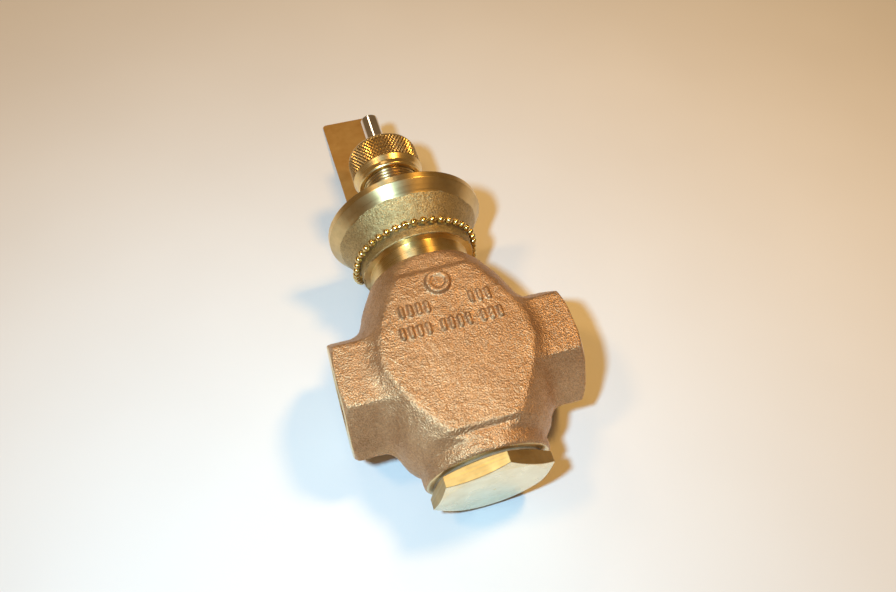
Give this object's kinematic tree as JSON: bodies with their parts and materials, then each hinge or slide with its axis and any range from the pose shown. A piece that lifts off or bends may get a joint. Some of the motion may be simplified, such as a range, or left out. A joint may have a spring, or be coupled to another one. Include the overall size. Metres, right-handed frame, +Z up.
{
  "type": "globe valve",
  "caption": "Two-way bronze globe valve with hexagonal threaded ends, flanged bonnet, knurled packing nut, plain stem end, and a brass tag on a ball chain round its neck.",
  "frame": {"origin": "middle of the whole part's box, on the surface that the valve lies on", "axes": "+Z up from the surface the valve lies on, +X along the pipe line towards the outlet, +Y along the table in the direction of the stem's tip; the stem itself rises 4.6 degrees from +Y, because the flange is larger than the body"},
  "size_m": [0.07, 0.177, 0.0515],
  "materials": {
    "cast_bronze": "sand-cast bronze, grainy, satin",
    "turned_brass": "turned brass, polished lands and a rough cone",
    "cap_brass": "turned brass with fine facing marks",
    "knurled_brass": "diamond-knurled brass",
    "stainless": "ground stainless steel",
    "spring_steel": "drawn spring wire",
    "ptfe": "waxy white fluoropolymer",
    "gasket_fibre": "pressed dark fibre sheet",
    "wiper_rubber": "moulded black rubber",
    "chain_brass": "bright pressed brass",
    "tag_brass": "brown-gold brushed sheet brass"
  },
  "bodies": {
    "valve": {"body": "cast_bronze", "bonnet": "turned_brass", "bonnet_gasket": "gasket_fibre", "bottom_cap": "cap_brass", "bottom_cap_gasket": "gasket_fibre", "seat_ring": "cap_brass", "stem_guide_bush": "turned_brass", "packing_washer": "stainless", "packing_spring": "spring_steel", "packing_lower_adapter": "ptfe", "packing_v_rings": "ptfe", "packing_upper_adapter": "ptfe", "gland_follower": "turned_brass", "chain_beads": "chain_brass", "chain_links": "chain_brass", "chain_connector": "chain_brass"},
    "stem_group": {"stem": "stainless", "plug": "cap_brass", "plug_disc": "ptfe", "disc_retainer": "cap_brass", "plug_pin": "stainless"},
    "nut_carrier": {"stem_wiper": "wiper_rubber"},
    "nut": {"packing_nut": "knurled_brass"},
    "tag_plate": {"tag": "tag_brass"}
  },
  "joints": [
    {"name": "stem_slide", "type": "slide", "parent": "valve", "child": "stem_group", "axis": [0, 0.9968, 0.0802], "range_m": [-0.008, 0]},
    {"name": "nut_lift", "type": "slide", "parent": "valve", "child": "nut_carrier", "axis": [0, 0.9968, 0.0802], "range_m": [0, 0.00445]},
    {"name": "nut_turn", "type": "hinge", "parent": "nut_carrier", "child": "nut", "pos_m": [0, 0.0305, 0.02779], "axis": [0, 0.9968, 0.0802], "range_deg": [0, 1261]},
    {"name": "tag_swing", "type": "hinge", "parent": "valve", "child": "tag_plate", "pos_m": [-0.004, 0.03254, 0.00298], "axis": [0, 0.0533, 0.9986], "range_deg": [-12, 12]}
  ],
  "couplings": [
    {"joint": "nut_turn", "follows": "nut_lift", "rad_per_m": 4947.4}
  ]
}
